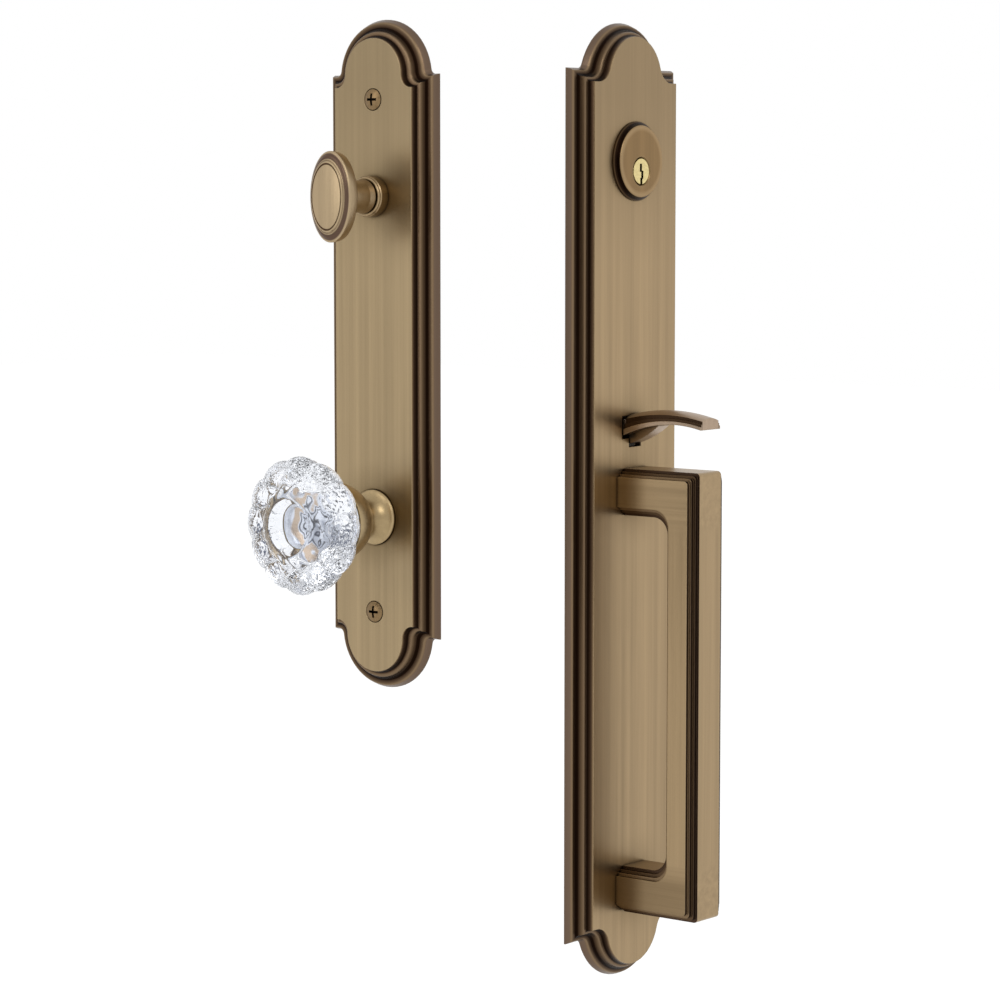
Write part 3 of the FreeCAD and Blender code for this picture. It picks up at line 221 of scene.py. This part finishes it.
def brass(name, along=2, tone=TAN, paint=None, rough=0.34, crevice=0.0025, contact=0.012,
          shade=0.85, tops=0.0, legs=False, rooted=False):
    """Aged brushed brass.

    paint(nt, place, colour, grain) lays the tones of one piece over the colour. contact and
    crevice are the distances at which other faces paint shade on it: olive shade, and black that
    is both patina and painted shade; shade is how much olive. tops darkens what stands high, legs
    turns the brushing on the grip's legs, and rooted paints shade on what lies inside the
    outside plate, making it black and matt.
    """
    mat, nt, out = new_material(name)
    obj = put(nt, "ShaderNodeTexCoord").outputs["Object"]
    place = put(nt, "ShaderNodeSeparateXYZ", {"Vector": obj}).outputs
    fine = grain(nt, obj, along, FINE_GRAIN)
    broad = grain(nt, obj, along, BROAD_GRAIN)
    if legs:
        ends = [remap(nt, place["Z"], *limits) for limits in (TOP_LEG, LOW_LEG)]
        leg = calc(nt, "MAXIMUM", *ends)
        fine = blend(nt, leg, fine, grain(nt, obj, 1, FINE_GRAIN))
        broad = blend(nt, leg, broad, grain(nt, obj, 1, LEG_GRAIN))

    noise = {"Vector": obj, "Scale": 18.0, "Detail": 3.0, "Roughness": 0.5}
    cloud = put(nt, "ShaderNodeTexNoise", noise).outputs[0]
    col = mix(nt, remap(nt, broad, 0.32, 0.68), scaled(tone, 0.85), scaled(tone, 1.11))
    col = mix(nt, remap(nt, cloud, 0.35, 0.70, 0.0, 0.50), col, tone)
    col = mix(nt, remap(nt, fine, 0.30, 0.70, 0.0, 0.12), col, scaled(tone, 0.72))
    if tops:
        col = mix(nt, remap(nt, place["Z"], *TOPS, 0.0, tops), col, scaled(tone, 0.55))

    # Painted shade: olive where other faces are near, and black in tight crevices, there also
    # patina; worn light along open edges
    col = mix(nt, remap(nt, closeness(nt, contact, 8), 0.95, 0.30, 0.0, shade), col, OLIVE)
    tight = closeness(nt, crevice, 6)
    col = mix(nt, remap(nt, tight, 0.72, 0.30, 0.0, 0.90), col, PITCH)
    rounded = put(nt, "ShaderNodeBevel", {"Radius": EDGE_ROUND}, samples=4).outputs[0]
    flat = put(nt, "ShaderNodeNewGeometry").outputs["Normal"]
    agree = put(nt, "ShaderNodeVectorMath", {0: rounded, 1: flat}, operation="DOT_PRODUCT")
    edge = remap(nt, agree.outputs["Value"], 0.995, 0.90)
    worn = times(nt, edge, remap(nt, tight, 0.75, 0.95))
    col = lay(nt, col, TAN_LIGHT, worn, 0.30)
    if paint:
        col = paint(nt, place, col, fine)

    r = remap(nt, fine, 0.25, 0.75, rough - 0.05, rough + 0.07)
    bump = put(nt, "ShaderNodeBump", {
        "Strength": 0.10, "Distance": 0.0002, "Height": fine, "Normal": rounded,
    }).outputs[0]
    bsdf = put(nt, "ShaderNodeBsdfPrincipled", {
        "Base Color": col, "Metallic": 1.0, "Roughness": r, "Normal": bump,
    })
    # Painted shade: what lies inside the outside plate is black and matt
    if rooted:
        slot_shade = remap(nt, place["Y"], -EXT_THICK, ROOT_FADE - EXT_THICK)
        shown = less(nt, 1.0, slot_shade)
        feed(nt, mix(nt, slot_shade, col, PITCH), bsdf.inputs["Base Color"])
        feed(nt, shown, bsdf.inputs["Metallic"])
        feed(nt, calc(nt, "MAXIMUM", r, slot_shade), bsdf.inputs["Roughness"])
        feed(nt, times(nt, shown, 0.5), bsdf.inputs["Specular IOR Level"])
    nt.links.new(bsdf.outputs[0], out.inputs[0])
    return mat


# Tones of single pieces, most of them painted light and shade. A pair of limits is where a tone
# starts and where it is full, or the two sides of a band, in metres from the piece's axis or
# middle. A third number is the band's fade.

def plate_paint(axis, back, low, thick):
    """Painted shade in the recesses of a plate's moulded edge, also patina there, and painted
    highlights on its ridges.
    """
    def paint(nt, place, col, fine):
        rise = times(nt, less(nt, back - low, place[axis]), 1.0 / (thick - low))
        along = calc(nt, "ADD", times(nt, rise, 1.0 - PAINT_FOOT), PAINT_FOOT)
        shade_and_highlights = ramp(nt, along, PAINT)
        wobble = calc(nt, "ADD", rise, remap(nt, fine, 0.3, 0.7, -0.002, 0.002))
        return mix(nt, remap(nt, wobble, *PANEL_RISE), shade_and_highlights, col)
    return paint


GRIP_SIDE = (0.0141, 0.01415)
GRIP_STEPS = (0.00872, 0.01408)
GRIP_LEG_REFLECTION = (0.0160, 0.0235, 0.0045)
GRIP_FOOT = (-0.168, -0.178)
GRIP_RIDGES = [
    (0.00870, lin(70, 54, 42)), (0.01053, lin(86, 68, 50)), (0.01237, lin(122, 101, 76)),
]


def grip_paint(nt, place, col, fine):
    """Painted shade on the steps along the grip's sides, lighter on the ridges between them, a
    painted dark reflection across its legs, and darker towards its foot.
    """
    across = calc(nt, "ABSOLUTE", place["X"])
    out = times(nt, place["Y"], -1.0)
    side = remap(nt, across, *GRIP_SIDE)
    # Painted reflection: a dark band across the sides of the legs
    leg = times(nt, band(nt, out, *GRIP_LEG_REFLECTION), side)
    col = lay(nt, col, lin(84, 64, 38), leg, 0.45)
    foot = times(nt, remap(nt, place["Z"], *GRIP_FOOT, 0.0, 0.42), side)
    col = lay(nt, col, lin(84, 66, 44), foot)
    # Painted shade on the steps, lighter on the ridges between them
    col = lay(nt, col, lin(56, 42, 31), band(nt, across, *GRIP_STEPS, 0.00003))
    for at, tone in GRIP_RIDGES:
        col = lay(nt, col, tone, band(nt, across, at - 0.00006, at + 0.00028, 0.00004))
    return col


THUMB_OUT = (0.0107, 0.0542)
THUMB_HALF = (0.0098, 0.0079)
THUMB_STEP_SHADE = [
    (0.00128, 0.00150, 0.00004, lin(62, 46, 33)), (0.00062, 0.00078, 0.00003, lin(70, 53, 38)),
]


def thumb_paint(nt, place, col, fine):
    """Painted shade on the steps along the thumb piece's sides, which taper towards its tip."""
    out = times(nt, place["Y"], -1.0)
    half = remap(nt, out, *THUMB_OUT, *THUMB_HALF)
    inset = less(nt, half, calc(nt, "ABSOLUTE", place["X"]))
    shown = remap(nt, out, EXT_THICK, EXT_THICK + ROOT_FADE)
    for low, high, soft, tone in THUMB_STEP_SHADE:
        col = lay(nt, col, tone, band(nt, inset, low, high, soft), shown)
    return col


TURN_FACE_OUT = 0.0277
TURN_LONG, TURN_WIDE = 0.0195, 0.0114
TURN_SHADE_RINGS = [
    (0.01620, 0.01860, 0.00030, 0.88, lin(74, 54, 48)),
    (0.01525, 0.01580, 0.00012, 0.55, lin(80, 60, 44)),
    (0.01375, 0.01445, 0.00012, 0.92, lin(64, 42, 28)),
]


def turn_paint(nt, place, col, fine):
    """Painted shade: plum on the slope inside the turn's rim, dark on a ledge, and a dark line
    round its face.
    """
    y = times(nt, less(nt, place["Y"], INT_Y), TURN_LONG / TURN_WIDE)
    reach = distance(nt, y, less(nt, place["Z"], TURN_Z))
    front = remap(nt, less(nt, INT_FACE - TURN_FACE_OUT, place["X"]), 0.0002, 0.0006)
    for low, high, soft, strength, tone in TURN_SHADE_RINGS:
        ring = times(nt, band(nt, reach, low, high, soft), front)
        col = lay(nt, col, tone, ring, strength)
    return col


CYLINDER_RIM_HIGHLIGHT = (0.0148, 0.0168, 0.0008)
CYLINDER_WALL_SHADE = (0.0168, 0.0170)
CYLINDER_LIP_SHADE = (0.0179, 0.0184)


def cylinder_paint(nt, place, col, fine):
    """Painted shade, near black, on the side wall of the cylinder's head, a painted highlight on
    the rim round its face, and painted shade on the lip.
    """
    reach = distance(nt, place["X"], less(nt, place["Z"], CYLINDER_Z))
    col = lay(nt, col, lin(168, 142, 106), band(nt, reach, *CYLINDER_RIM_HIGHLIGHT), 0.55)
    col = lay(nt, col, lin(30, 18, 11), remap(nt, reach, *CYLINDER_WALL_SHADE))
    return lay(nt, col, lin(92, 72, 50), remap(nt, reach, *CYLINDER_LIP_SHADE, 0.0, 0.6))


GLASS_TINT = (0.90, 0.92, 0.96)
CUP_WALL, CUP_WALL_OUT, CUP_RIM_OUT = 0.01735, 0.0255, 0.0299
CUP_FLOOR, CUP_FLOOR_OUT = 0.0142, 0.0250
CUP_FADE = 0.0002
CUP_PETALS, CUP_PETAL_DEPTH = 6.0, 0.0009


def cup_paint(nt, place, col, fine):
    """Painted light behind the glass: a near white lining of the cup, with painted dark and warm
    reflections in rings that the glass shows.
    """
    y = less(nt, place["Y"], INT_Y)
    z = less(nt, place["Z"], KNOB_Z)
    reach = distance(nt, y, z)
    out = less(nt, INT_FACE, place["X"])
    deep = times(nt, remap(nt, out, CUP_WALL_OUT, CUP_WALL_OUT + CUP_FADE),
                 remap(nt, out, CUP_RIM_OUT, CUP_RIM_OUT - CUP_FADE))
    wall = times(nt, deep, remap(nt, reach, CUP_WALL, CUP_WALL - CUP_FADE))
    floor = times(nt, remap(nt, reach, CUP_FLOOR, CUP_FLOOR - 0.0001),
                  remap(nt, out, CUP_FLOOR_OUT, CUP_FLOOR_OUT + CUP_FADE))
    lining = calc(nt, "MAXIMUM", wall, floor)
    # Painted reflections seen through the glass: dark and warm rings, waved like the knob's petals,
    # the warm one on one side only
    swing = calc(nt, "SINE", times(nt, calc(nt, "ARCTAN2", z, y), CUP_PETALS))
    waved = calc(nt, "ADD", reach, times(nt, swing, CUP_PETAL_DEPTH))
    back = mix(nt, band(nt, waved, 0.0040, 0.0054, 0.0003), GLASS_TINT, lin(70, 72, 82))
    back = lay(nt, back, lin(84, 88, 100), band(nt, waved, 0.0076, 0.0086, 0.0003))
    warm_reflection = times(nt, band(nt, waved, 0.0094, 0.0136, 0.0005), remap(nt, y, 0.0, 0.003))
    back = lay(nt, back, lin(214, 190, 164), warm_reflection)
    return mix(nt, lining, col, back)


CROSS_REACH = (0.0029, 0.0028)
CROSS_TOP, CROSS_BOTTOM = (0.00072, 0.0006), (-0.0010, -0.0008)


def screw_paint(nt, place, col, fine):
    """Painted shade: black inside the cross recesses of the mounting screws' heads."""
    offsets = [calc(nt, "ABSOLUTE", less(nt, place["Z"], z)) for z in SCREWS_Z]
    reach = distance(nt, less(nt, place["Y"], INT_Y), calc(nt, "MINIMUM", *offsets))
    out = less(nt, INT_FACE, place["X"])
    deep = times(nt, remap(nt, out, *CROSS_TOP), remap(nt, out, *CROSS_BOTTOM))
    return lay(nt, col, lin(14, 9, 5), times(nt, deep, remap(nt, reach, *CROSS_REACH)))


def plain_metal(name, color, rough, shade_reach=0.0015, paint=None):
    """Metal without brushing, with painted shade, near black, where faces lie closer than the given
    shade reach.
    """
    mat, nt, out = new_material(name)
    obj = put(nt, "ShaderNodeTexCoord").outputs["Object"]
    noise = {"Vector": obj, "Scale": 900.0, "Detail": 3.0, "Roughness": 0.6}
    n = put(nt, "ShaderNodeTexNoise", noise).outputs[0]
    col = mix(nt, remap(nt, n, 0.35, 0.65), scaled(color, 0.85), scaled(color, 1.08))
    col = mix(nt, remap(nt, closeness(nt, shade_reach, 6), 0.70, 0.25, 0.0, 0.85), col, PITCH)
    if paint:
        col = paint(nt, put(nt, "ShaderNodeSeparateXYZ", {"Vector": obj}).outputs, col, n)
    rounded = put(nt, "ShaderNodeBevel", {"Radius": 0.0002}, samples=4).outputs[0]
    bump = put(nt, "ShaderNodeBump", {
        "Strength": 0.08, "Distance": 0.0001, "Height": n, "Normal": rounded,
    }).outputs[0]
    bsdf = put(nt, "ShaderNodeBsdfPrincipled", {
        "Base Color": col, "Metallic": 1.0, "Normal": bump,
        "Roughness": remap(nt, n, 0.3, 0.7, rough - 0.05, rough + 0.05),
    })
    nt.links.new(bsdf.outputs[0], out.inputs[0])
    return mat


GLASS_PRESSED = (0.0205, 0.0235)


def glass_material():
    """Clear crystal. Its outer ring is pressed in small facets and its dished middle is smooth."""
    mat, nt, out = new_material("cut_crystal")
    obj = put(nt, "ShaderNodeTexCoord").outputs["Object"]
    place = put(nt, "ShaderNodeSeparateXYZ", {"Vector": obj}).outputs
    reach = distance(nt, less(nt, place["Y"], INT_Y), less(nt, place["Z"], KNOB_Z))
    cells = put(nt, "ShaderNodeTexVoronoi", {"Vector": obj, "Scale": 520.0}, feature="F1")
    ripple = put(nt, "ShaderNodeTexNoise", {"Vector": obj, "Scale": 300.0, "Detail": 2.0})
    height = calc(nt, "ADD", cells.outputs["Distance"], ripple.outputs[0])
    height = times(nt, height, remap(nt, reach, *GLASS_PRESSED))
    bump = put(nt, "ShaderNodeBump", {"Strength": 1.0, "Distance": 0.00035, "Height": height})
    bsdf = put(nt, "ShaderNodeBsdfPrincipled", {
        "Base Color": GLASS_TINT + (1,), "Roughness": 0.0, "IOR": 1.54,
        "Transmission Weight": 1.0, "Normal": bump.outputs[0],
    })
    nt.links.new(bsdf.outputs[0], out.inputs[0])
    return mat


# Materials of the pieces: by name where a piece has its own, or else by its slot

crystal = glass_material()
inner_steel = plain_metal("zinc_steel_inner", lin(92, 88, 82), 0.5, shade_reach=0.008)
finish = {
    "antique_brass": brass("brushed_brass_turned", along=0, crevice=0.0012, rough=0.30),
    "bright_brass": plain_metal("bright_brass", lin(214, 196, 140), 0.22),
    "dark_bronze": plain_metal("dark_bronze", lin(132, 109, 78), 0.32, paint=screw_paint),
    "zinc_steel": plain_metal("zinc_steel", lin(176, 178, 180), 0.36),
    "crystal": crystal,
}
special = {
    "exterior_plate": brass(
        "brushed_brass_outside", paint=plate_paint("Y", 0.0, EXT_SIDE, EXT_THICK),
        contact=0.018, shade=0.62, tops=0.45),
    "interior_plate": brass(
        "brushed_brass_inside", tone=lin(162, 142, 110),
        paint=plate_paint("X", INT_X, INT_SIDE, INT_THICK), contact=0.020, tops=0.45),
    "pull_grip": brass(
        "brushed_brass_grip", paint=grip_paint, crevice=0.0022, contact=0.009, shade=0.55,
        legs=True),
    "thumb_piece": brass(
        "brushed_brass_thumb", along=1, tone=lin(170, 149, 128), paint=thumb_paint,
        crevice=0.0016, contact=0.010, rooted=True),
    "lock_cylinder": brass(
        "brass_cylinder_face", tone=lin(135, 109, 74), paint=cylinder_paint, crevice=0.0015,
        contact=0.003),
    "thumb_turn": brass(
        "brushed_brass_turn", tone=lin(172, 151, 120), paint=turn_paint, crevice=0.0012,
        rough=0.30),
    "knob_cup": brass(
        "brushed_brass_cup", along=0, tone=lin(174, 152, 114), paint=cup_paint,
        crevice=0.0012, rough=0.30),
    "thumb_bracket": inner_steel,
    "latch_lifter": inner_steel,
    "thumb_pin": inner_steel,
    "thumb_spring": inner_steel,
}
slot_of = {s["node"]: s["material_slot"] for s in frame["record"]["subparts"]}
for name, obj in nodes.items():
    mat = special.get(name, finish[slot_of[name]])
    if not obj.material_slots:
        obj.data.materials.append(mat)
    for ms in obj.material_slots:
        ms.material = mat


# The glass knob

KNOB_SIDES, KNOB_LOBES = 720, 12
KNOB_SHIFT = 0.0034

# Each ring of its skin: how far it stands out from a place KNOB_SHIFT off the plate's face, its
# radius, depth of the notches as a part of the radius, height of the petals, their turn in lobes
KNOB_RINGS = [
    # back: the stub in the cup, flaring to the rim
    (0.0225, 0.0002, 0.000, 0.0000, 0.0),
    (0.0225, 0.0060, 0.000, 0.0000, 0.0),
    (0.0225, 0.0138, 0.000, 0.0000, 0.0),
    (0.0258, 0.0158, 0.000, 0.0000, 0.0),
    (0.0272, 0.0166, 0.000, 0.0000, 0.0),
    (0.0282, 0.0180, 0.010, 0.0000, 0.0),
    (0.0300, 0.0200, 0.020, 0.0004, 0.0),
    (0.0318, 0.0218, 0.030, 0.0008, 0.0),
    (0.0338, 0.0234, 0.035, 0.0006, 0.0),
    (0.0352, 0.0245, 0.050, -0.0006, 0.0),
    (0.0366, 0.0261, 0.060, -0.0006, 0.0),
    (0.0384, 0.0276, 0.070, 0.0000, 0.0),
    (0.0402, 0.0286, 0.075, 0.0000, 0.0),
    (0.0422, 0.0294, 0.078, 0.0000, 0.0),
    (0.0438, 0.0298, 0.078, 0.0000, 0.0),
    (0.0452, 0.0297, 0.078, 0.0000, 0.0),
    (0.0464, 0.0291, 0.075, 0.0000, 0.0),
    # front: petals, a round bead and the dished middle
    (0.0474, 0.0278, 0.065, 0.0003, 0.0),
    (0.0484, 0.0257, 0.050, 0.0010, 0.0),
    (0.0490, 0.0232, 0.030, 0.0014, 0.0),
    (0.0494, 0.0212, 0.020, 0.0012, 0.0),
    (0.0496, 0.0192, 0.010, 0.0004, 0.5),
    (0.0494, 0.0174, 0.006, 0.0008, 0.5),
    (0.0500, 0.0160, 0.004, 0.0008, 0.5),
    (0.0508, 0.0148, 0.000, 0.0003, 0.5),
    (0.0514, 0.0136, 0.000, 0.0000, 0.0),
    (0.0517, 0.0124, 0.000, 0.0000, 0.0),
    (0.0515, 0.0114, 0.000, 0.0000, 0.0),
    (0.0507, 0.0104, 0.000, 0.0000, 0.0),
    (0.0499, 0.0092, 0.000, 0.0000, 0.0),
    (0.0495, 0.0074, 0.000, 0.0000, 0.0),
    (0.0493, 0.0050, 0.000, 0.0000, 0.0),
    (0.0492, 0.0024, 0.000, 0.0000, 0.0),
    (0.0492, 0.0003, 0.000, 0.0000, 0.0),
]


def add_mesh(name, bm, mat):
    me = bpy.data.meshes.new(name)
    bm.to_mesh(me)
    bm.free()
    me.materials.append(mat)
    ob = bpy.data.objects.new(name, me)
    scene.collection.objects.link(ob)
    return ob


def glass_knob():
    """One closed skin drawn round the knob's axis, in rounded lobes with narrow notches."""
    bm = bmesh.new()
    loops = []
    for out, radius, depth, petals, phase in KNOB_RINGS:
        loop = []
        for i in range(KNOB_SIDES):
            a = 2 * math.pi * i / KNOB_SIDES
            t = a * KNOB_LOBES / (2 * math.pi)
            u = abs(2 * (t % 1.0) - 1)
            r = radius * (1 - depth * (1 - math.sqrt(max(0.0, 1 - (1 - u) ** 2))))
            lift = petals * (0.5 + 0.5 * math.cos(2 * math.pi * (t + phase)))
            x = INT_FACE - KNOB_SHIFT - (out + lift)
            loop.append(bm.verts.new((x, INT_Y + r * math.sin(a), KNOB_Z + r * math.cos(a))))
        loops.append(loop)
    for lower, upper in zip(loops, loops[1:]):
        for i in range(KNOB_SIDES):
            j = (i + 1) % KNOB_SIDES
            bm.faces.new((lower[i], upper[i], upper[j], lower[j]))
    bm.faces.new(loops[0])
    bm.faces.new(list(reversed(loops[-1])))
    bmesh.ops.recalc_face_normals(bm, faces=bm.faces)
    ob = add_mesh("crystal_knob", bm, crystal)
    for p in ob.data.polygons:
        p.use_smooth = True
    return ob


knob = glass_knob()
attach(knob, "glass_knob")
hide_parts("glass_knob")


# Light, floor and camera

def seen_rays(nt):
    """The kinds of ray, and 1 for rays from the camera, a mirroring face or through glass."""
    kinds = nt.nodes.new("ShaderNodeLightPath").outputs
    seen = calc(nt, "MAXIMUM", kinds["Is Camera Ray"], kinds["Is Glossy Ray"])
    return kinds, calc(nt, "MAXIMUM", seen, kinds["Is Transmission Ray"])


def studio():
    """White where it is seen, with cool patches through glass, and a soft fill elsewhere."""
    world = bpy.data.worlds.new("studio")
    scene.world = world
    world.use_nodes = True
    nt = world.node_tree
    nt.nodes.clear()
    out = nt.nodes.new("ShaderNodeOutputWorld")
    kinds, seen = seen_rays(nt)
    way = put(nt, "ShaderNodeTexCoord").outputs["Generated"]
    noise = {"Vector": way, "Scale": 3.2, "Detail": 2.0, "Roughness": 0.5}
    patches = put(nt, "ShaderNodeTexNoise", noise).outputs[0]
    through = times(nt, kinds["Is Transmission Ray"], remap(nt, patches, 0.47, 0.56))
    white = mix(nt, through, (1.0, 1.0, 1.0), lin(84, 92, 112))
    soft = put(nt, "ShaderNodeBackground", {"Color": (0.80, 0.82, 0.85, 1), "Strength": 0.45})
    plain = put(nt, "ShaderNodeBackground", {"Color": white, "Strength": 1.0})
    both = put(nt, "ShaderNodeMixShader", {0: seen, 1: soft.outputs[0], 2: plain.outputs[0]})
    nt.links.new(both.outputs[0], out.inputs[0])


FLOOR_HALF, FLOOR_BELOW = 6.0, 0.16


def pale_floor():
    """White floor below the set that returns little light to it."""
    mat, nt, out = new_material("pale_floor")
    matt = put(nt, "ShaderNodeBsdfDiffuse", {"Color": (0.30, 0.30, 0.30, 1)})
    glow = put(nt, "ShaderNodeEmission", {"Color": (1, 1, 1, 1), "Strength": 0.94})
    none = put(nt, "ShaderNodeEmission", {"Color": (0, 0, 0, 1), "Strength": 0.0})
    seen = seen_rays(nt)[1]
    pick = put(nt, "ShaderNodeMixShader", {0: seen, 1: none.outputs[0], 2: glow.outputs[0]})
    both = put(nt, "ShaderNodeAddShader", {0: matt.outputs[0], 1: pick.outputs[0]})
    nt.links.new(both.outputs[0], out.inputs[0])
    bm = bmesh.new()
    bmesh.ops.create_grid(bm, x_segments=1, y_segments=1, size=FLOOR_HALF)
    ob = add_mesh("floor", bm, mat)
    ob.location = (0, 0, cad_low.z - FLOOR_BELOW)
    return ob


studio()
floor = pale_floor()

# Each lamp: name, place, what it points at, size, power
LAMPS = [
    ("key", (-1.3, -1.6, 1.5), (-0.05, 0, 0.1), (1.2, 1.2), 12),
    ("side", (-2.0, 0.6, 0.7), (-0.1, 0, 0.05), (0.9, 1.4), 5),
    ("fill", (1.6, -1.6, 0.4), (0, 0, 0), (1.2, 1.6), 1.0),
    ("low", (-1.3, -1.5, -0.7), (0, 0, -0.18), (1.2, 0.8), 2.5),
]
for name, place, target, size, power in LAMPS:
    data = bpy.data.lights.new(name, "AREA")
    data.shape = "RECTANGLE"
    data.size, data.size_y = size
    data.energy = power
    lamp = bpy.data.objects.new(name, data)
    lamp.location = place
    way = Vector(target) - Vector(place)
    lamp.rotation_euler = way.to_track_quat("-Z", "Y").to_euler()
    scene.collection.objects.link(lamp)

# The photograph's camera, fitted to the edges of both plates
CAMERA_PLACE = (-1.32059, -0.98156, 0.16213)
CAMERA_WAY = (0.77810, 0.62064, -0.09682)
data = bpy.data.cameras.new("camera")
data.sensor_width = 36.0
data.lens = 124.2
data.clip_start = 0.05
data.clip_end = 30
camera = bpy.data.objects.new("camera", data)
camera.location = CAMERA_PLACE
camera.rotation_euler = Vector(CAMERA_WAY).to_track_quat("-Z", "Y").to_euler()
scene.collection.objects.link(camera)
scene.camera = camera
scene.view_settings.view_transform = "Standard"
